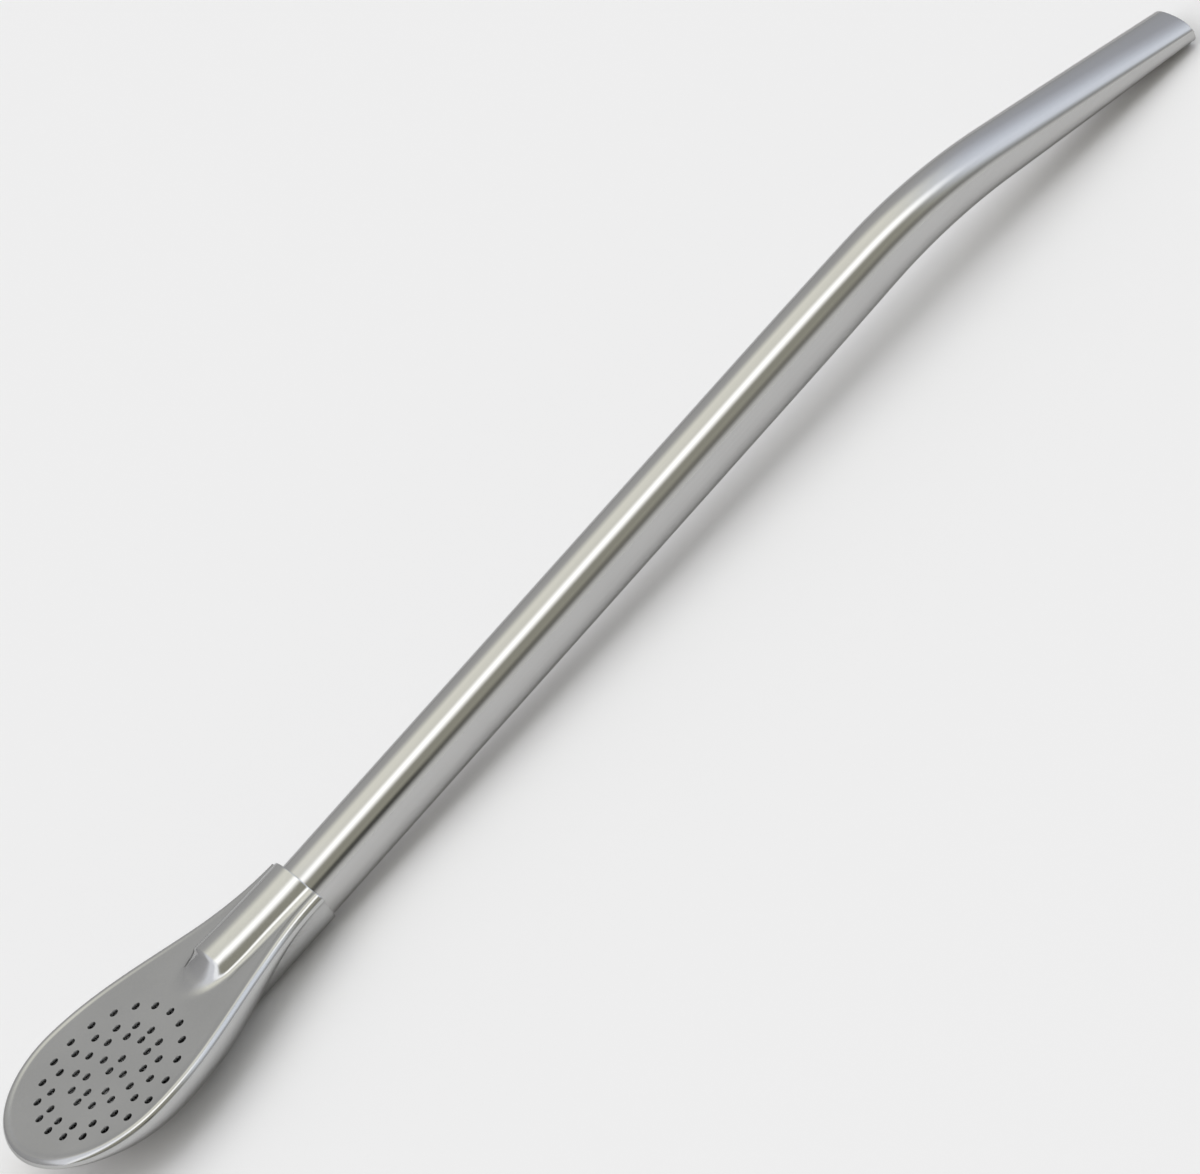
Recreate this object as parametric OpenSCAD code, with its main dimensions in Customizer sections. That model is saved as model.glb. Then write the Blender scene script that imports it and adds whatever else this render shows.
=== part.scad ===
/* [Stem] */
// Outside diameter of the drawn tube
tube_d = 7.85; // [6:0.05:10]
// Wall thickness of the tube
tube_wall = 0.5; // [0.3:0.05:0.8]
// Straight length between the collar mouth and the bend
straight_l = 97.3; // [70:0.1:130]
// Centre line radius of the bend
bend_r = 73.6; // [40:0.1:100]
// Angle the mouthpiece turns down, away from the perforated face
bend_deg = 15.3; // [5:0.1:25]

/* [Mouthpiece] */
// Length from the end of the bend to the open tip
tip_l = 27.6; // [18:0.1:45]
// Length over which the round tube flattens, measured back from the tip
flat_l = 63.5; // [40:0.5:75]
// Outside width of the flattened tip
tip_w = 8; // [6.5:0.05:12]
// Outside height of the flattened tip
tip_h = 3.35; // [2.4:0.05:6]
// How late the flattening happens, one is even
flat_power = 1.85; // [1:0.05:3]
// How square the flattened section is, two is an ellipse
tip_square = 2.4; // [2:0.1:4]

/* [Filter head] */
// Greatest width of the spoon
head_w = 26.3; // [20:0.1:32]
// Length of the spoon from its toe to the collar mouth
head_l = 44.3; // [38:0.1:56]
// Tilt of the flat face, rising towards the toe
face_tilt = 4.7; // [0:0.1:6]
// Height of the face over the stem's axis at the collar mouth
face_h = 2.07; // [1.2:0.01:2.6]
// Lip of the shells outside the collar at the mouth
neck_lip = 1.1; // [0.3:0.05:1.5]
// Fullness of the spoon's flanks, larger is slimmer
flank_power = 1; // [0.6:0.05:1.4]
// Thickness of the front plate
plate_t = 0.85; // [0.6:0.05:1.2]
// Rounding of the front plate's rim
rim_r = 0.7; // [0.3:0.05:1]
// Wall of the back shell
bowl_t = 0.3; // [0.25:0.05:0.6]
// Depth of the back shell below the front plate
bowl_depth = 6.2; // [5:0.05:8]
// How fast the back shell turns under at its rim, half is an ellipse
keel_power = 0.6; // [0.5:0.02:0.75]
// Distance from the toe to the full depth of the back shell
bowl_rise = 17; // [12:0.5:22]
// Thickness of the back shell's flange at the collar mouth
flange_t = 1.3; // [0.8:0.05:2]

/* [Socket] */
// Depth of the socket that takes the stem
socket_l = 13.4; // [9:0.1:18]
// Radial clearance between stem and socket
fit_gap = 0.05; // [0.02:0.01:0.1]
// Space left between the stem's end and the stop in the socket
stop_gap = 0.3; // [0.2:0.05:1]
// Length of the sloping end of the raised boss
boss_slope_l = 5; // [3:0.1:7]
// Drop of the sloping end for each millimetre
boss_slope = 0.38; // [0.25:0.01:0.45]

/* [Perforation] */
// Diameter of one filter hole
hole_d = 1; // [0.6:0.05:1.4]
// Radius of the smallest ring of holes
ring_first = 2.7; // [2.2:0.05:3.2]
// Step from one ring to the next
ring_step = 2.28; // [1.9:0.02:2.5]
// Shift of every other ring towards the toe
ring_shift = 0.74; // [0:0.02:0.9]
// Place of the pattern, from the toe's centre towards the collar
pattern_dx = 0.85; // [0:0.05:1.6]
// Place of the pattern sideways from the middle of the face
pattern_dy = -1.1; // [-1.5:0.05:1.5]

/* [Hidden] */
$fn = 96;
tube_r = tube_d / 2;
bore_r = tube_r + fit_gap;
front_r = bore_r + plate_t;
back_r = bore_r + bowl_t;
stem_end = -socket_l + stop_gap;
arc_l = bend_r * bend_deg * PI / 180;
line_l = straight_l + arc_l + tip_l;
flat_start = line_l - flat_l;
tip_x = straight_l + bend_r * sin(bend_deg) + tip_l * cos(bend_deg);
tip_z = -bend_r * (1 - cos(bend_deg)) - tip_l * sin(bend_deg);
toe_r = head_w / 2;
toe_u = toe_r - head_l;
neck_hw = front_r + neck_lip;
neck_over = 4;
flat_end = -21.7 * head_l / 44.3;
chamber_end = -9.5;
x_min = -head_l * cos(face_tilt) - plate_t * sin(face_tilt);
x_max = tip_x + tip_h / 2 * sin(bend_deg);
z_min = min(tip_z - tip_h / 2 * cos(bend_deg), -back_r);
shift = [-(x_min + x_max) / 2, 0, -z_min];
toe_n = 12;
flank_n = 24;
round_n = 3;
bowl_n = 24;
tip_n = 26;
tube_n = 36;

// Lateral half width of the spoon on its flank
function flank(u) =
    let (k = min(1, (u - toe_u) / -toe_u))
    neck_hw + (toe_r - neck_hw) * pow((1 + cos(180 * k)) / 2, flank_power);

// Depth of the back shell below the plate
function depth(u) =
    u < bowl_rise - head_l ? bowl_depth * sin(90 * max(0, u + head_l) / bowl_rise) :
    u < flat_end ? bowl_depth :
    let (k = min(1, (u - flat_end) / -flat_end))
    flange_t + (bowl_depth - flange_t) * (1 + cos(180 * k)) / 2;

// Stations along the spoon, each [u, half width], set in by a wall
function stations(wall, u_end) = concat(
    [for (i = [0 : toe_n])
        let (a = 90 * i / toe_n)
        [toe_u - (toe_r - wall) * cos(a), (toe_r - wall) * sin(a)]],
    [for (i = [1 : flank_n])
        let (u = toe_u + (u_end - toe_u) * i / flank_n)
        [u, flank(u) - wall]]);

// Closed outline of the face at one height
function outline(inset, w) =
    let (s = stations(inset, neck_over), n = len(s))
    concat(
        [for (i = [n - 1 : -1 : 0]) [s[i][0], -s[i][1], w]],
        [for (i = [1 : n - 1]) [s[i][0], s[i][1], w]]);

// Solid through a list of rings with equal point counts
module loft(rings) {
    m = len(rings[0]);
    n = len(rings);
    sides = [for (i = [0 : n - 2]) for (j = [0 : m - 1])
        let (a = i * m + j, b = i * m + (j + 1) % m)
        each [[a, b, b + m], [a, b + m, a + m]]];
    low = [for (j = [m - 1 : -1 : 0]) j];
    high = [for (j = [0 : m - 1]) (n - 1) * m + j];
    polyhedron(points = [for (r = rings) each r], faces = concat(sides, [low], [high]));
}

// Solid that starts at one toe point and runs through sections
module toe_loft(toe, sections) {
    m = len(sections[0]);
    n = len(sections);
    nose = [for (j = [0 : m - 1]) [0, 1 + (j + 1) % m, 1 + j]];
    sides = [for (i = [0 : n - 2]) for (j = [0 : m - 1])
        let (a = 1 + i * m + j, b = 1 + i * m + (j + 1) % m)
        each [[a, b, b + m], [a, b + m, a + m]]];
    high = [for (j = [0 : m - 1]) 1 + (n - 1) * m + j];
    polyhedron(points = concat([toe], [for (s = sections) each s]), faces = concat(nose, sides, [high]));
}

module in_face_frame() {
    translate([0, 0, face_h])
        rotate([0, face_tilt, 0])
            children();
}

module along_x(x) {
    translate([x, 0, 0])
        rotate([0, 90, 0])
            children();
}

// Pushes a round section's coordinate out towards a square
function squared(v, n) = sign(v) * pow(abs(v), 2 / n);

// One ring of the mouthpiece, k is the share of the flattening
function tip_ring(s, inset, grow) =
    let (
        k = pow(max(0, min(1, (s - flat_start) / flat_l)), flat_power),
        w = (tube_r + (tip_w / 2 - tube_r) * k - inset) * grow,
        h = (tube_r + (tip_h / 2 - tube_r) * k - inset) * grow,
        n = 2 + (tip_square - 2) * k,
        a = max(0, min(bend_deg, (s - straight_l) / bend_r * 180 / PI)),
        before = min(s, straight_l),
        after = max(0, s - straight_l - arc_l),
        x = before + bend_r * sin(a) + after * cos(a),
        z = -bend_r * (1 - cos(a)) - after * sin(a))
    [for (j = [0 : tube_n - 1])
        let (t = -360 * j / tube_n, up = h * squared(sin(t), n))
        [x + up * sin(a), w * squared(cos(t), n), z + up * cos(a)]];

module tip_solid(inset, grow, over) {
    loft([for (i = [0 : tip_n])
        tip_ring(flat_start - over + (flat_l + 2 * over) * i / tip_n, inset, grow)]);
}

// The whole stem is one drawn tube, round at the socket and flat at the lips
module stem_tube() {
    color([0.78, 0.78, 0.77])
    translate(shift) {
        difference() {
            along_x(stem_end)
                cylinder(h = flat_start - stem_end, r = tube_r);
            along_x(stem_end - 1)
                cylinder(h = flat_start - stem_end + 2, r = tube_r - tube_wall);
        }
        difference() {
            tip_solid(0.01, 1, 0);
            tip_solid(tube_wall - 0.02, 1 / cos(180 / tube_n), 1);
        }
    }
}

// Round body of the collar with its sloping end
module collar(r) {
    along_x(-socket_l)
        cylinder(h = socket_l + neck_over, r = r);
    along_x(-socket_l - boss_slope_l)
        cylinder(h = boss_slope_l + 0.01, r1 = r - boss_slope * boss_slope_l, r2 = r);
}

module socket() {
    along_x(-socket_l)
        cylinder(h = socket_l + neck_over + 1, r = bore_r);
    along_x(-socket_l - boss_slope_l - 0.01)
        cylinder(h = boss_slope_l + 0.02, r1 = bore_r - boss_slope * boss_slope_l, r2 = bore_r);
}

module beyond_mouth() {
    translate([0, -head_w, -head_w])
        cube([head_w, 2 * head_w, 2 * head_w]);
}

// Drilled through along the face's normal
module perforation() {
    in_face_frame()
    translate([toe_u + pattern_dx, pattern_dy, -bowl_depth - 4])
    union() {
        cylinder(h = bowl_depth + 6, d = hole_d, $fn = 24);
        for (ring = [0 : 3])
            let (count = [6, 12, 16, 20][ring], r = ring_first + ring * ring_step)
            for (i = [0 : count - 1])
                translate([r * cos(360 * i / count) - (ring % 2 == 0 ? ring_shift : 0), r * sin(360 * i / count), 0])
                    cylinder(h = bowl_depth + 6, d = hole_d, $fn = 24);
    }
}

module plate() {
    loft(concat(
        [outline(0, -plate_t)],
        [for (i = [0 : round_n])
            let (a = 90 * i / round_n)
            outline(rim_r * (1 - cos(a)), -rim_r * (1 - sin(a)))]));
}

// Perforated flat plate with the raised half round boss over the stem
module filter_front() {
    color([0.72, 0.72, 0.71])
    translate(shift)
    difference() {
        union() {
            in_face_frame()
                plate();
            intersection() {
                collar(front_r);
                in_face_frame()
                    translate([-head_l, -head_w, -plate_t])
                        cube([head_l + head_w, 2 * head_w, head_w]);
            }
        }
        socket();
        beyond_mouth();
        perforation();
    }
}

// Section of the back shell from the far rim round the keel to the near rim
function bowl_section(st, wall, top) =
    let (d = depth(st[0]) - wall)
    concat(
        [for (j = [0 : bowl_n])
            let (a = 180 * j / bowl_n)
            [st[0], st[1] * cos(a), -plate_t - d * pow(abs(sin(a)), 2 * keel_power)]],
        top > 0 ? [[st[0], -st[1], top - plate_t], [st[0], st[1], top - plate_t]] : []);

module bowl(wall, u_end, top) {
    s = stations(wall, u_end);
    toe_loft(
        [s[0][0], 0, -plate_t + top],
        [for (i = [1 : len(s) - 1]) bowl_section(s[i], wall, top)]);
}

// Deep back shell that closes the chamber and the lower half of the socket
module filter_back() {
    color([0.66, 0.66, 0.65])
    translate(shift)
    difference() {
        union() {
            in_face_frame()
                bowl(0, neck_over, 0);
            intersection() {
                collar(back_r);
                in_face_frame()
                    translate([-head_l, -head_w, -plate_t - 2 * head_w])
                        cube([head_l + head_w, 2 * head_w, 2 * head_w]);
            }
        }
        in_face_frame()
            bowl(bowl_t, chamber_end, 1);
        socket();
        beyond_mouth();
        perforation();
    }
}

stem_tube();
filter_front();
filter_back();
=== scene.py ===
import math

import bpy
import numpy as np
from mathutils import Matrix, Vector


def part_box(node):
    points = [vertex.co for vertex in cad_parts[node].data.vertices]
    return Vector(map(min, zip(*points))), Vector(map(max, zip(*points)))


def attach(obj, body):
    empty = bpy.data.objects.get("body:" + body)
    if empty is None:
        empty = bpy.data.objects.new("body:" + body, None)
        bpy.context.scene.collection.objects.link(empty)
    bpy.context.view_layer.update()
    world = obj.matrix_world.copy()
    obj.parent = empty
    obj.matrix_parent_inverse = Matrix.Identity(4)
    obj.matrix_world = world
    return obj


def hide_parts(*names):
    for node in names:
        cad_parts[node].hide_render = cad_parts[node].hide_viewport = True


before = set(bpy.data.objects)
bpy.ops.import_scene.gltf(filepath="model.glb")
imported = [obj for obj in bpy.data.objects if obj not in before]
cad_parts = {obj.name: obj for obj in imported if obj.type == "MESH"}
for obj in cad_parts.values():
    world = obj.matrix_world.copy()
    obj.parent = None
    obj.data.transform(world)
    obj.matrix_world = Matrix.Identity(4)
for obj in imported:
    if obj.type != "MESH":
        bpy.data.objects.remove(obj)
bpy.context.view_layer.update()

# Sizes are in millimetres along the stem, measured from the collar mouth on the stem's axis.
MM = 0.001

# Stem
TUBE_R = 3.925
TUBE_WALL = 0.5
TUBE_EDGE = 0.14
TUBE_SIDES = 128
STRAIGHT_L = 97.3
STRAIGHT_RINGS = (20, 50)
BEND_R = 73.6
BEND = math.radians(15.3)
TIP_L = 27.6
TIP_W = 8.0
TIP_H = 3.35
TIP_SQUARE = 2.4
TIP_WASTE = 3  # tube beyond the tip, which the cut takes off
FLAT_L = 63.5
FLAT_POWER = 1.85
FLAT_RINGS = 70

# Outline and face of the spoon
HEAD_W = 26.3
HEAD_L = 44.3
NECK_HALF = 5.925
FACE_TILT = math.radians(4.7)
FACE_H = 2.07
PLATE_T = 0.85
NECK_LIFT = 0.28  # rise of the face's rim at the mouth
NECK_SWELL = 0.22  # further rise between rim and collar there
NECK_SWELL_POWER = 5
NECK_L = 10.5
NECK_POWER = 1.2
LIP_H = 0.11
LIP_REACH = 1.55
LIP_FULL_L = 28  # distance from the mouth at which the border has its full height
LIP_LEAST = 0.35  # share of that height at the mouth

# Socket and collar
SOCKET_L = 13.4
FIT_GAP = 0.05
STOP_GAP = 0.3
COLLAR_R = 4.3
COLLAR_TOP = 4.9
COLLAR_CLIMB = 0.003  # rise of the collar, times the square of the way from the mouth
COLLAR_LEAST_T = 0.3
FILLET_R = 1.5
FILLET_LOSS = 0.5  # how much smaller the fillet is at the nose
FILLET_LOSS_X = -6
FILLET_LOSS_L = 8
NOSE_L = 5.0
NOSE_POWER = 2.5
NOSE_TAPER = 0.25
SWELL_X = -13  # the low swelling that carries the nose into the face
SWELL_H = 0.8
SWELL_AHEAD = 6.2
SWELL_BEHIND = 3
SWELL_HALF = 4.6
SWELL_SOFT = 0.3

# Back shell
BOWL_T = 0.3
BOWL_DEPTH = 6.2
BOWL_RISE = 17.0
BOWL_FLAT_END = -21.7
KEEL_POWER = 0.6
FLANGE_T = 1.3
SLEEVE_SIDE = 9  # slope at which the sleeve's sides run out under the bowl
SLEEVE_SOFT = 0.15
SLEEVE_SOFT_INSIDE = 0.2
SLEEVE_SOFT_DEPTH = 0.4

# Holes
HOLE_D = 1.0
HOLE_SIDES = 28
HOLE_EASE = ((0.14, 1.14), (0.3, 1.2))  # height and growth of the steps that ease a hole's edge
PLATE_PUNCH = (-3, -0.1)  # lowest and highest place of a straight punch, from the face
BOWL_PUNCH = (-9, -1.2)
RING_FIRST = 2.7
RING_STEP = 2.28
RING_SHIFT = 0.74
RING_COUNTS = (6, 12, 16, 20)
PATTERN_DX = 0.85
PATTERN_DY = -1.1

# Fineness of the shells
NECK_LINES = 121
TOE_LINES = 81
FACE_ROWS = 60
LIP_ROWS = 15
RIM_ROWS = 12
UNDER_ROWS = 48
UNDER_START = 0.97  # share of the width at which the rows go back underneath
BOWL_ROWS = 85
MOUTH_EDGE = 0.1
MOUTH_LEAST = 0.12  # shorter edges round the mouth would hold its bevel back
SAME_POINT = 0.0002
SMOOTH_ANGLE = math.radians(40)
EDGE_ANGLE = math.radians(60)

BACK_R = TUBE_R + FIT_GAP + BOWL_T
TOE_R = HEAD_W / 2
TOE_X = (TOE_R - HEAD_L) * math.cos(FACE_TILT)
ARC_L = BEND_R * BEND
LINE_L = STRAIGHT_L + ARC_L + TIP_L

# The collar mouth on the stem's axis, in the shared frame.
COLLAR = Vector((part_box("filter_front")[1][0], 0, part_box("stem_tube")[1][2] - TUBE_R * MM))


def placed(x, y, z):
    """A point given along the stem in millimetres, in the shared frame in metres."""
    return COLLAR + Vector((x, y, z)) * MM


def clear_selection():
    if bpy.context.mode != "OBJECT":
        bpy.ops.object.mode_set(mode="OBJECT")
    bpy.ops.object.select_all(action="DESELECT")


def take(piece):
    clear_selection()
    piece.select_set(True)
    bpy.context.view_layer.objects.active = piece


def settle(piece):
    """Moves the piece's place into its mesh and smooths all but its sharp edges."""
    take(piece)
    bpy.ops.object.transform_apply(location=True, rotation=True, scale=True)
    bpy.ops.object.shade_smooth_by_angle(angle=SMOOTH_ANGLE)


def finish_with(piece, kind, **settings):
    """Adds one modifier, sets it and applies it."""
    take(piece)
    modifier = piece.modifiers.new(kind.lower(), kind)
    for key, value in settings.items():
        setattr(modifier, key, value)
    bpy.ops.object.modifier_apply(modifier=modifier.name)


# Stem

def stem_line(s):
    """Centre and slope of the stem at a length along it."""
    turn = min(max((s - STRAIGHT_L) / BEND_R, 0), BEND)
    after = max(0, s - STRAIGHT_L - ARC_L)
    x = min(s, STRAIGHT_L) + BEND_R * math.sin(turn) + after * math.cos(turn)
    z = -BEND_R * (1 - math.cos(turn)) - after * math.sin(turn)
    return x, z, turn


def stem_section(s):
    """Half width, half height and squareness of the stem's upright section."""
    share = max(0, (s - LINE_L + FLAT_L) / FLAT_L) ** FLAT_POWER
    turn = stem_line(s)[2]
    half_height = (TUBE_R + (TIP_H / 2 - TUBE_R) * share) / math.cos(turn)
    return TUBE_R + (TIP_W / 2 - TUBE_R) * share, half_height, 2 + (TIP_SQUARE - 2) * share


def square_up(stem, stops):
    """Pushes the rings of the mouthpiece out from ellipses to its squarer section."""
    near = 0.001 * MM
    points = np.empty(len(stem.data.vertices) * 3)
    stem.data.vertices.foreach_get("co", points)
    points = points.reshape(-1, 3)
    for s in stops:
        x, z = stem_line(s)[:2]
        w, h, n = stem_section(s)
        middle = np.array(placed(x, 0, z))
        half = np.array((1, w * MM, h * MM))
        ring = np.abs(points[:, 0] - middle[0]) < near
        round_place = (points[ring] - middle) / half
        points[ring] = middle + np.sign(round_place) * np.abs(round_place) ** (2 / n) * half
    stem.data.vertices.foreach_set("co", points.reshape(-1))


def make_stem():
    """A ring drawn out along the stem's line, flattened, cut at the tip and given its wall."""
    clear_selection()
    start = -SOCKET_L + STOP_GAP
    bpy.ops.mesh.primitive_circle_add(vertices=TUBE_SIDES, radius=TUBE_R * MM, fill_type="NOTHING",
                                      location=placed(start, 0, 0), rotation=(0, math.pi / 2, 0))
    stem = bpy.context.object
    stem.name = "drawn_tube"
    bpy.ops.object.transform_apply(location=True, rotation=True, scale=True)
    bpy.ops.object.mode_set(mode="EDIT")
    bpy.ops.mesh.select_all(action="SELECT")
    flat_stops = [LINE_L - FLAT_L + (FLAT_L + TIP_WASTE) * i / FLAT_RINGS for i in range(FLAT_RINGS + 1)]
    x0, z0 = stem_line(start)[:2]
    w0, h0 = stem_section(start)[:2]
    for s in (*STRAIGHT_RINGS, *flat_stops):
        x, z = stem_line(s)[:2]
        w, h = stem_section(s)[:2]
        onward = ((x - x0) * MM, 0, (z - z0) * MM)
        bpy.ops.mesh.extrude_edges_move(TRANSFORM_OT_translate={"value": onward})
        bpy.ops.transform.resize(value=(1, w / w0, h / h0), center_override=placed(x, 0, z))
        x0, z0, w0, h0 = x, z, w, h
    bpy.ops.object.mode_set(mode="OBJECT")
    square_up(stem, flat_stops)
    tip_x, tip_z, turn = stem_line(LINE_L)
    bpy.ops.object.mode_set(mode="EDIT")
    bpy.ops.mesh.select_all(action="SELECT")
    bpy.ops.mesh.bisect(plane_co=placed(tip_x, 0, tip_z), plane_no=(math.cos(turn), 0, -math.sin(turn)),
                        clear_outer=True)
    bpy.ops.mesh.select_all(action="SELECT")
    bpy.ops.mesh.normals_make_consistent(inside=False)
    bpy.ops.object.mode_set(mode="OBJECT")
    finish_with(stem, "SOLIDIFY", thickness=TUBE_WALL * MM, offset=-1, use_even_offset=True)
    finish_with(stem, "BEVEL", width=TUBE_EDGE * MM, segments=3, limit_method="ANGLE", angle_limit=EDGE_ANGLE)
    settle(stem)
    return stem


# Forms of the filter shells

def ease(share):
    """Rises from 0 to 1 with level ends."""
    share = np.clip(share, 0, 1)
    return share * share * (3 - 2 * share)


def half_wave(share):
    """Falls from 1 to 0 as half a cosine wave."""
    return (1 + np.cos(np.pi * np.clip(share, 0, 1))) / 2


def soft_max(a, b, soft):
    return (a + b + np.sqrt((a - b) ** 2 + soft ** 2)) / 2


def half_width(x, inset=0):
    """Half the spoon's width at a place along the stem."""
    toe = np.sqrt(np.clip((TOE_R - inset) ** 2 - (x - TOE_X) ** 2, 1e-9, None))
    flank = NECK_HALF - inset + (TOE_R - NECK_HALF) * half_wave((x - TOE_X) / -TOE_X)
    return np.where(x < TOE_X, toe, flank)


def near_mouth(x):
    """1 at the collar mouth, falling to 0 over the neck."""
    return np.clip(1 + x / NECK_L, 0, 1) ** NECK_POWER


def past_socket(x):
    """0 over the socket, rising to 1 at the end of its nose."""
    return np.clip((-SOCKET_L - x) / NOSE_L, 0, 1)


def face(x):
    """Height of the face at the rim: it climbs a little towards the toe and is lifted beside the collar."""
    return FACE_H - x * math.tan(FACE_TILT) + NECK_LIFT * near_mouth(x)


def collar_rise(x, y):
    """Height of the half round collar over the face: it climbs to its nose and meets the face in a fillet."""
    over = COLLAR_TOP + COLLAR_CLIMB * x ** 2 - COLLAR_R
    fillet = FILLET_R - FILLET_LOSS * ease((FILLET_LOSS_X - x) / FILLET_LOSS_L)
    across = np.clip(np.abs(y) / half_width(x), 0, 1)
    beside = NECK_SWELL * near_mouth(x) * (1 - across ** NECK_SWELL_POWER)
    level = face(x) + beside
    away = past_socket(x)
    out = np.abs(y) / (1 - NOSE_TAPER * away)
    reach = np.sqrt((COLLAR_R + fillet) ** 2 - (level + fillet - over) ** 2)
    crown = over + np.sqrt(np.clip(COLLAR_R ** 2 - out ** 2, 0, None)) - level
    sweep = fillet - np.sqrt(np.clip(fillet ** 2 - (reach - out) ** 2, 0, None))
    rise = np.where(out < reach * COLLAR_R / (COLLAR_R + fillet), crown, np.where(out < reach, sweep, 0))
    past = (x - SWELL_X) / np.where(x < SWELL_X, SWELL_AHEAD, SWELL_BEHIND)
    swell = SWELL_H * np.clip(1 - past ** 2 - (y / SWELL_HALF) ** 2, 0, 1) ** 2
    soft = SWELL_SOFT * np.clip(swell / SWELL_SOFT, 0, 1)
    return beside + soft_max(rise * (1 - away) ** NOSE_POWER, swell, soft)


def bowl_depth(x):
    """Depth of the back shell on its spine: up from the toe, level, then down to the flange at the mouth."""
    rise = BOWL_DEPTH * np.sin(np.pi / 2 * np.clip((x - TOE_X + TOE_R) / BOWL_RISE, 0, 1))
    fall = FLANGE_T + (BOWL_DEPTH - FLANGE_T) * half_wave((x - BOWL_FLAT_END) / -BOWL_FLAT_END)
    return np.minimum(rise, fall)


def bowl_drop(x, y, inset, soft):
    """Depth of the back shell under the seam: the bowl, with the sleeve for the stem let into it."""
    level = face(x) - PLATE_T
    share = np.clip(1 - (y / half_width(x, inset)) ** 2, 0, 1) ** KEEL_POWER
    bowl = np.maximum(bowl_depth(x) - inset, 0) * share
    radius = BACK_R - inset
    beyond = np.clip(np.abs(y) - radius, 0, None)
    sleeve = level + np.sqrt(np.clip(radius ** 2 - y ** 2, 0, None)) - SLEEVE_SIDE * beyond
    sleeve = np.minimum(sleeve, (level + radius) * (1 - past_socket(x)) ** 2)
    return soft_max(bowl, sleeve, soft * np.clip(bowl / SLEEVE_SOFT_DEPTH, 0, 1))


# Filter shells

def spokes():
    """Lines from the spine to the rim, from the near mouth round the toe to the far mouth."""
    neck = np.linspace(0, TOE_X, NECK_LINES)
    turn = np.linspace(-math.pi / 2, math.pi / 2, TOE_LINES)[1:-1]
    start = np.concatenate([neck, np.full(turn.size, TOE_X), neck[::-1]])
    dx = np.concatenate([0 * neck, -np.cos(turn), 0 * neck])
    dy = np.concatenate([0 * neck - 1, np.sin(turn), 0 * neck + 1])
    length = np.concatenate([half_width(neck), np.full(turn.size, TOE_R), half_width(neck[::-1])])
    return start, dx, dy, length


def closed_shell(name, rows):
    """A shell whose rows run from the spine over the rim and back inside, with its mouth filled and eased."""
    points = np.stack([np.stack(row, -1) for row in rows])
    row_count, line_count = points.shape[:2]
    clear_selection()
    bpy.ops.mesh.primitive_grid_add(x_subdivisions=line_count - 1, y_subdivisions=row_count - 1, size=1)
    shell = bpy.context.object
    shell.name = name
    shell.data.vertices.foreach_set("co", (np.array(COLLAR) + points * MM).reshape(-1))
    bpy.ops.object.mode_set(mode="EDIT")
    bpy.ops.mesh.select_all(action="SELECT")
    bpy.ops.mesh.remove_doubles(threshold=SAME_POINT * MM)
    bpy.ops.mesh.select_all(action="DESELECT")
    bpy.ops.mesh.select_mode(type="EDGE")
    bpy.ops.mesh.select_non_manifold()
    bpy.ops.mesh.remove_doubles(threshold=MOUTH_LEAST * MM)
    bpy.ops.mesh.select_all(action="DESELECT")
    bpy.ops.mesh.select_non_manifold()
    bpy.ops.transform.edge_bevelweight(value=1)
    bpy.ops.mesh.edge_face_add()
    bpy.ops.mesh.select_all(action="SELECT")
    bpy.ops.mesh.normals_make_consistent(inside=False)
    bpy.ops.object.mode_set(mode="OBJECT")
    finish_with(shell, "BEVEL", width=MOUTH_EDGE * MM, segments=2, limit_method="WEIGHT")
    return shell


def hole_places():
    """The middle hole and the rings round it; every other ring sits a little towards the toe."""
    places = [(0, 0)]
    for ring, count in enumerate(RING_COUNTS):
        r = RING_FIRST + ring * RING_STEP
        back = RING_SHIFT if ring % 2 == 0 else 0
        turns = [2 * math.pi * i / count for i in range(count)]
        places += [(r * math.cos(t) - back, r * math.sin(t)) for t in turns]
    return [(TOE_X + PATTERN_DX + px, PATTERN_DY + py) for px, py in places]


def widen_top(punch, steps):
    """Draws the punch's top face up in widening steps."""
    bpy.ops.object.mode_set(mode="EDIT")
    bpy.ops.mesh.select_mode(type="FACE")
    bpy.ops.mesh.select_all(action="DESELECT")
    bpy.ops.object.mode_set(mode="OBJECT")
    top = max(punch.data.polygons, key=lambda side: side.center.z)
    top.select = True
    bpy.ops.object.mode_set(mode="EDIT")
    for height, growth in steps:
        bpy.ops.mesh.extrude_region_move(TRANSFORM_OT_translate={"value": (0, 0, height * MM)})
        bpy.ops.transform.resize(value=(growth, growth, 1), center_override=(0, 0, 0))
    bpy.ops.object.mode_set(mode="OBJECT")


def make_punches(low, high, steps):
    """One punch, copied to every hole."""
    clear_selection()
    bpy.ops.mesh.primitive_cylinder_add(vertices=HOLE_SIDES, radius=HOLE_D / 2 * MM, depth=(high - low) * MM,
                                        location=(0, 0, (high + low) / 2 * MM))
    first = bpy.context.object
    if steps:
        widen_top(first, steps)
    bpy.ops.object.transform_apply(location=True, rotation=True, scale=True)
    clear_selection()
    tilt = Matrix.Rotation(FACE_TILT, 4, "Y")
    for px, py in hole_places():
        punch = first.copy()
        punch.data = first.data.copy()
        bpy.context.collection.objects.link(punch)
        punch.data.transform(Matrix.Translation(placed(px, py, face(px))) @ tilt)
        punch.select_set(True)
        bpy.context.view_layer.objects.active = punch
    bpy.data.objects.remove(first)
    bpy.ops.object.join()
    return bpy.context.object


def pierce(shell, low, high, steps=()):
    punches = make_punches(low, high, steps)
    finish_with(shell, "BOOLEAN", object=punches, operation="DIFFERENCE", solver="EXACT")
    bpy.data.objects.remove(punches)


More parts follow.
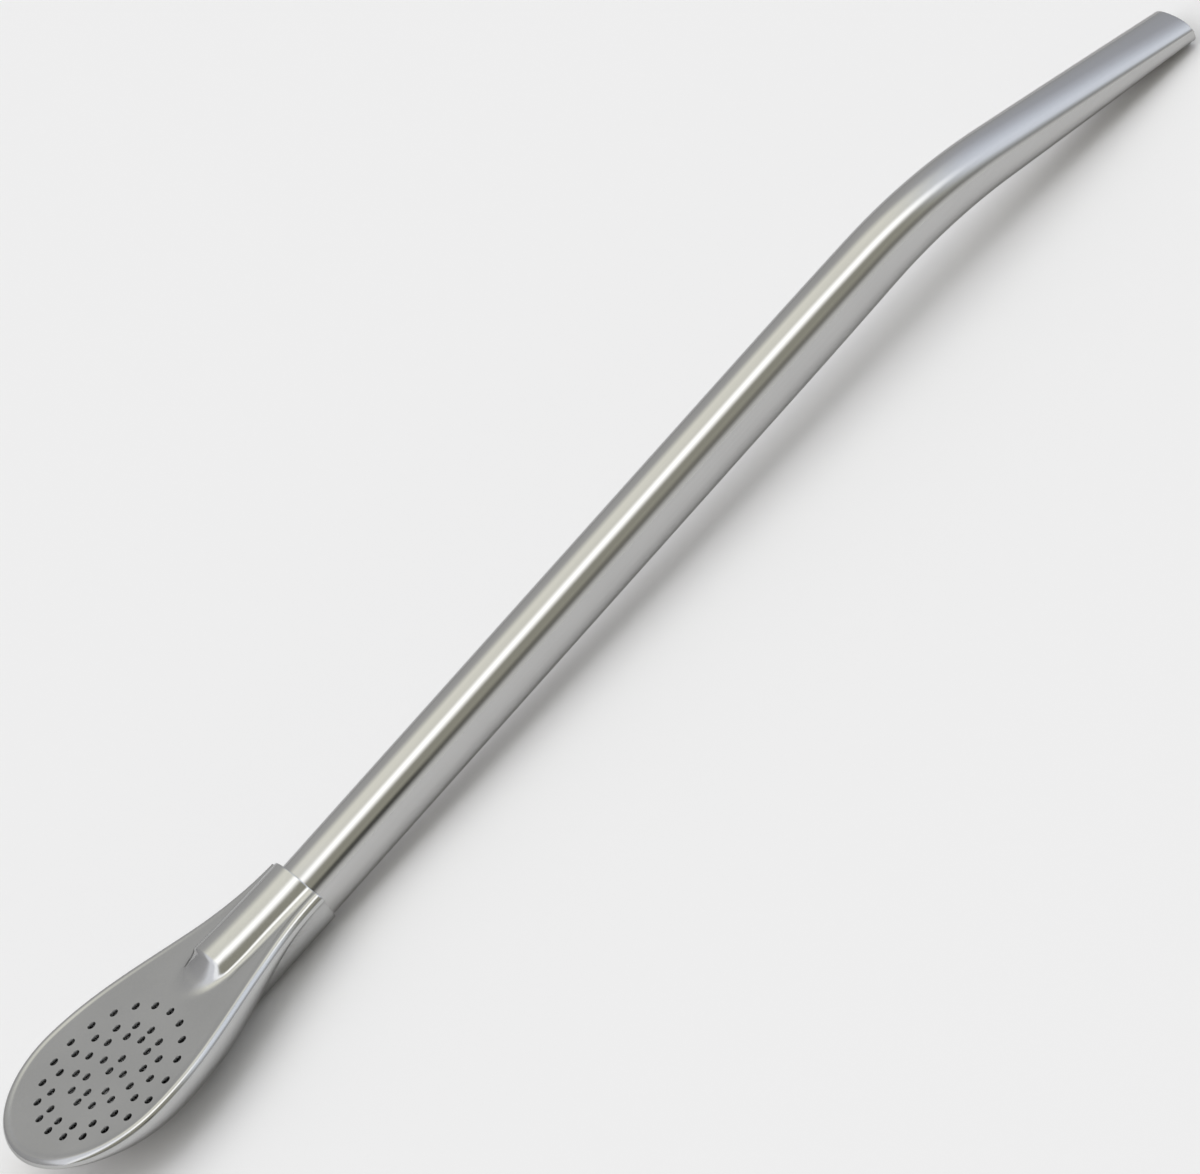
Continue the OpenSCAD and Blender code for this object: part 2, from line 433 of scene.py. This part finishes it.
def make_front():
    """The face with its collar: flat to a raised border, rounded over to the seam, then back underneath."""
    start, dx, dy, length = spokes()
    border = LIP_H * np.clip(-start / LIP_FULL_L, LIP_LEAST, 1)

    def across(radius):
        return start + dx * radius, dy * radius

    def top(x, y):
        return face(x) + collar_rise(x, y)

    def under(x, y):
        bore = np.sqrt(np.clip((TUBE_R + FIT_GAP) ** 2 - y ** 2, 0, None)) * (x > -SOCKET_L)
        return np.maximum(face(x) - PLATE_T, np.minimum(bore, top(x, y) - COLLAR_LEAST_T))

    rows = []
    face_radii = [share * (length - LIP_REACH) for share in np.linspace(0, 1, FACE_ROWS)]
    lip_radii = [length - inside for inside in np.linspace(LIP_REACH, PLATE_T, LIP_ROWS)[1:]]
    for radius in face_radii + lip_radii:
        x, y = across(radius)
        lip = border * ease((radius - length + LIP_REACH) / (LIP_REACH - PLATE_T))
        rows.append((x, y, top(x, y) + lip))
    for turn in np.linspace(0, math.pi / 2, RIM_ROWS)[1:]:
        x, y = across(length - PLATE_T * (1 - math.sin(turn)))
        fall = (1 - math.cos(turn)) * (PLATE_T + border) - border
        rows.append((x, y, top(x, y) * math.cos(turn) + face(x) * (1 - math.cos(turn)) - fall))
    for share in np.linspace(UNDER_START, 0, UNDER_ROWS):
        x, y = across(share * length)
        rows.append((x, y, under(x, y)))
    plate = closed_shell("pierced_plate", rows)
    pierce(plate, *PLATE_PUNCH, HOLE_EASE)
    settle(plate)
    return plate


def make_back():
    """The deep shell: the outside from its spine up to the seam, then the inside a sheet's thickness in."""
    start, dx, dy, length = spokes()

    def row(radius, inset, soft):
        x, y = start + dx * radius, dy * radius
        return x, y, face(x) - PLATE_T - bowl_drop(x, y, inset, soft)

    turns = np.linspace(0, math.pi / 2, BOWL_ROWS)
    rows = [row(length * math.sin(turn), 0, SLEEVE_SOFT) for turn in turns]
    inside = length - BOWL_T
    rows += [row(inside * math.sin(turn), BOWL_T, SLEEVE_SOFT_INSIDE) for turn in turns[::-2]]
    bowl = closed_shell("deep_back_shell", rows)
    pierce(bowl, *BOWL_PUNCH)
    settle(bowl)
    return bowl


# Finishes

RELIEF_H = 0.02
EDGE_TINT = (0.65, 0.65, 0.65, 1)


class Wire:
    """A shader value that takes part in sums; each sum adds its Math node."""

    def __init__(self, finish, socket):
        self.finish, self.socket = finish, socket

    def math(self, operation, a, b):
        return self.finish.node("ShaderNodeMath", {"operation": operation}, {0: a, 1: b})

    def __add__(self, other):
        return self.math("ADD", self, other)

    def __sub__(self, other):
        return self.math("SUBTRACT", self, other)

    def __rsub__(self, other):
        return self.math("SUBTRACT", other, self)

    def __mul__(self, other):
        return self.math("MULTIPLY", self, other)

    __radd__ = __add__
    __rmul__ = __mul__


class Finish:
    """A node tree under construction."""

    def __init__(self, tree):
        self.tree = tree
        tree.nodes.clear()

    def node(self, kind, settings=None, inputs=None, out=0):
        """Adds a node, makes its settings, then fills or links its sockets."""
        node = self.tree.nodes.new(kind)
        for key, value in (settings or {}).items():
            if key == "stops":
                ramp = node.color_ramp
                while len(ramp.elements) < len(value):
                    ramp.elements.new(0.5)
                for element, (place, colour) in zip(ramp.elements, value):
                    element.position = place
                    element.color = (*colour, 1)
            else:
                setattr(node, key, value)
        for key, value in (inputs or {}).items():
            if isinstance(value, Wire):
                self.tree.links.new(value.socket, node.inputs[key])
            else:
                node.inputs[key].default_value = value
        return Wire(self, node.outputs[out]) if node.outputs else node

    def mix(self, share, a, b):
        """A colour between two colours."""
        return self.node("ShaderNodeMix", {"data_type": "RGBA"}, {"Factor": share, 6: a, 7: b}, 2)


def new_finish(name):
    material = bpy.data.materials.new(name)
    material.use_nodes = True
    return material, Finish(material.node_tree)


def bare_metal(f, tone, rough, height, strength):
    """Ends a steel finish: uncoated metal with a very shallow relief."""
    bump = f.node("ShaderNodeBump", {}, {"Strength": strength, "Distance": RELIEF_H * MM, "Height": height})
    shader = f.node("ShaderNodeBsdfPrincipled", {}, {
        "Base Color": tone, "Metallic": 1, "Specular Tint": EDGE_TINT,
        "Roughness": rough, "Normal": bump})
    f.node("ShaderNodeOutputMaterial", {}, {"Surface": shader})


def drawn_steel():
    """Polished tube with faint drawing lines along the stem."""
    material, f = new_finish("drawn_steel")
    place = f.node("ShaderNodeTexCoord", out="Object")
    along = f.node("ShaderNodeMapping", {}, {"Vector": place, "Scale": (40, 9000, 9000)})
    lines = f.node("ShaderNodeTexNoise", {}, {"Vector": along, "Scale": 1, "Detail": 3, "Roughness": 0.6})
    cloud = f.node("ShaderNodeTexNoise", {}, {"Vector": place, "Scale": 60, "Detail": 2})
    tone = f.mix(lines * 0.5 + cloud * 0.5, (0.45, 0.447, 0.441, 1), (0.56, 0.557, 0.551, 1))
    bare_metal(f, tone, 0.09 + lines * 0.07 + cloud * 0.04, lines, 0.04)
    return material


def satin_steel():
    """Pressed sheet with a fine even grain."""
    material, f = new_finish("satin_steel")
    place = f.node("ShaderNodeTexCoord", out="Object")
    grain = f.node("ShaderNodeTexNoise", {}, {"Vector": place, "Scale": 5000, "Detail": 3, "Roughness": 0.6})
    cloud = f.node("ShaderNodeTexNoise", {}, {"Vector": place, "Scale": 120, "Detail": 3})
    tone = f.mix(cloud * 0.5 + grain * 0.5, (0.43, 0.43, 0.427, 1), (0.58, 0.58, 0.573, 1))
    bare_metal(f, tone, 0.11 + grain * 0.05 + cloud * 0.05, grain, 0.06)
    return material


# Floor, light and camera

FLOOR_SIZE = 6  # metres
FLOOR_GAP = 0.05
FLOOR_COLOUR = (0.908, 0.894, 0.884, 1)

# Each stop is an angle over the stem, from the near horizon at 0 to the far one at 180, and its light.
BRIGHTEST = 2.2
ROOM = (
    (0, (0.90, 0.90, 0.88)), (8, (0.80, 0.80, 0.78)), (20, (0.27, 0.265, 0.24)), (27, (0.32, 0.31, 0.27)),
    (35, (0.48, 0.47, 0.39)), (46, (0.43, 0.42, 0.35)), (55, (0.44, 0.43, 0.36)), (69, (2.2, 2.2, 2.17)),
    (77, (2.2, 2.2, 2.17)), (87, (1.12, 1.11, 1.01)), (116, (1.26, 1.25, 1.12)), (137, (0.63, 0.63, 0.62)),
    (150, (0.59, 0.59, 0.585)), (180, (0.60, 0.60, 0.60)))
ROOM_NECK = ROOM[:2] + ((21, (0.05, 0.05, 0.045)), (28, (0.05, 0.05, 0.045))) + ROOM[4:]
ROOM_TIP = (
    (0, (0.80, 0.80, 0.80)), (10, (0.66, 0.66, 0.66)), (18, (0.48, 0.49, 0.50)), (30, (0.68, 0.71, 0.75)),
    (46, (1.12, 1.18, 1.30)), (72, (1.13, 1.20, 1.33)), (98, (0.96, 1.02, 1.14)), (122, (0.76, 0.80, 0.89)),
    (145, (0.60, 0.62, 0.68)), (180, (0.60, 0.62, 0.66)))
ROOM_TOE = (
    (0, (0.82, 0.82, 0.81)), (8, (0.74, 0.74, 0.73)), (20, (0.27, 0.265, 0.24)), (27, (0.27, 0.265, 0.24)),
    (38, (0.46, 0.45, 0.37)), (55, (0.44, 0.43, 0.36)), (67, (1.6, 1.62, 1.68)), (80, (1.6, 1.62, 1.68)),
    (92, (1.12, 1.14, 1.21)), (116, (1.10, 1.12, 1.18)), (134, (0.56, 0.56, 0.57)), (180, (0.47, 0.47, 0.48)))

# How far along the stem a direction points where one part of the room gives way to the next.
NECK_FADE = (0.105, 0.135)
TIP_FADE = (0.31, 0.56)
TOE_FADE = (-0.02, 0.2)

SENSOR_W = 36
LENS = 239.6
FAR_CLIP = 20  # metres
CAMERA_PLACE = (-86.516, -739.953, 511.005)
CAMERA_RIGHT = Vector((0.659059, -0.505996, -0.556425))
CAMERA_UP = Vector((0.737357, 0.288992, 0.610564))


def make_floor():
    """Pale table under the two places the straw rests on, the collar's heel and the tip."""
    tip_x, tip_z, turn = stem_line(LINE_L)
    tip_low = tip_z - TIP_H / 2 / math.cos(turn)
    slope = math.atan2(tip_low + BACK_R, tip_x + SOCKET_L)
    clear_selection()
    bpy.ops.mesh.primitive_plane_add(size=FLOOR_SIZE, location=placed(-SOCKET_L, 0, -BACK_R - FLOOR_GAP),
                                     rotation=(0, -slope, 0))
    floor = bpy.context.object
    floor.name = "table"
    material, f = new_finish("pale_table")
    shader = f.node("ShaderNodeBsdfPrincipled", {}, {"Base Color": FLOOR_COLOUR, "Roughness": 0.9})
    f.node("ShaderNodeOutputMaterial", {}, {"Surface": shader})
    floor.data.materials.append(material)


def make_room():
    """Light that changes with the angle over the stem, bluer towards both ends of the room."""
    world = bpy.data.worlds.new("room")
    bpy.context.scene.world = world
    world.use_nodes = True
    f = Finish(world.node_tree)
    way = f.node("ShaderNodeTexCoord", out="Generated")
    parts = f.node("ShaderNodeSeparateXYZ", {}, {"Vector": way}).socket.node.outputs
    x, y, z = (Wire(f, parts[axis]) for axis in "XYZ")
    angle = f.node("ShaderNodeMath", {"operation": "ARCTAN2"}, {0: z, 1: 0 - y}) * (1 / math.pi)

    def fade(value, low, high):
        return f.node("ShaderNodeMapRange", {"interpolation_type": "SMOOTHSTEP"}, {
            "Value": value, "From Min": low, "From Max": high, "To Min": 0, "To Max": 1})

    def ramp(stops):
        stops = [(turn / 180, [part / BRIGHTEST for part in colour]) for turn, colour in stops]
        return f.node("ShaderNodeValToRGB", {"stops": stops}, {"Fac": angle})

    colour = f.mix(fade(x, *NECK_FADE), ramp(ROOM_NECK), ramp(ROOM))
    colour = f.mix(fade(x, *TIP_FADE), colour, ramp(ROOM_TIP))
    colour = f.mix(fade(0 - x, *TOE_FADE), colour, ramp(ROOM_TOE))
    light = f.node("ShaderNodeBackground", {}, {"Color": colour, "Strength": BRIGHTEST})
    f.node("ShaderNodeOutputWorld", {}, {"Surface": light})


def make_camera():
    data = bpy.data.cameras.new("photo_camera")
    camera = bpy.data.objects.new("photo_camera", data)
    bpy.context.collection.objects.link(camera)
    data.sensor_width = SENSOR_W
    data.lens = LENS
    data.clip_end = FAR_CLIP
    back = CAMERA_RIGHT.cross(CAMERA_UP)
    turn = Matrix((CAMERA_RIGHT, CAMERA_UP, back)).transposed().to_4x4()
    camera.matrix_world = Matrix.Translation(placed(*CAMERA_PLACE)) @ turn
    bpy.context.scene.camera = camera


make_camera()
make_room()
make_floor()

tube_finish = drawn_steel()
shell_finish = satin_steel()
for piece, node, body, slot, finish in (
        (make_stem(), "stem_tube", "stem", "polished_steel", tube_finish),
        (make_front(), "filter_front", "filter_head", "satin_steel", shell_finish),
        (make_back(), "filter_back", "filter_head", "satin_steel", shell_finish)):
    piece.data.materials.clear()
    piece.data.materials.append(finish)
    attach(piece, body)
    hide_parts(node)

bpy.context.scene.view_settings.view_transform = "Standard"
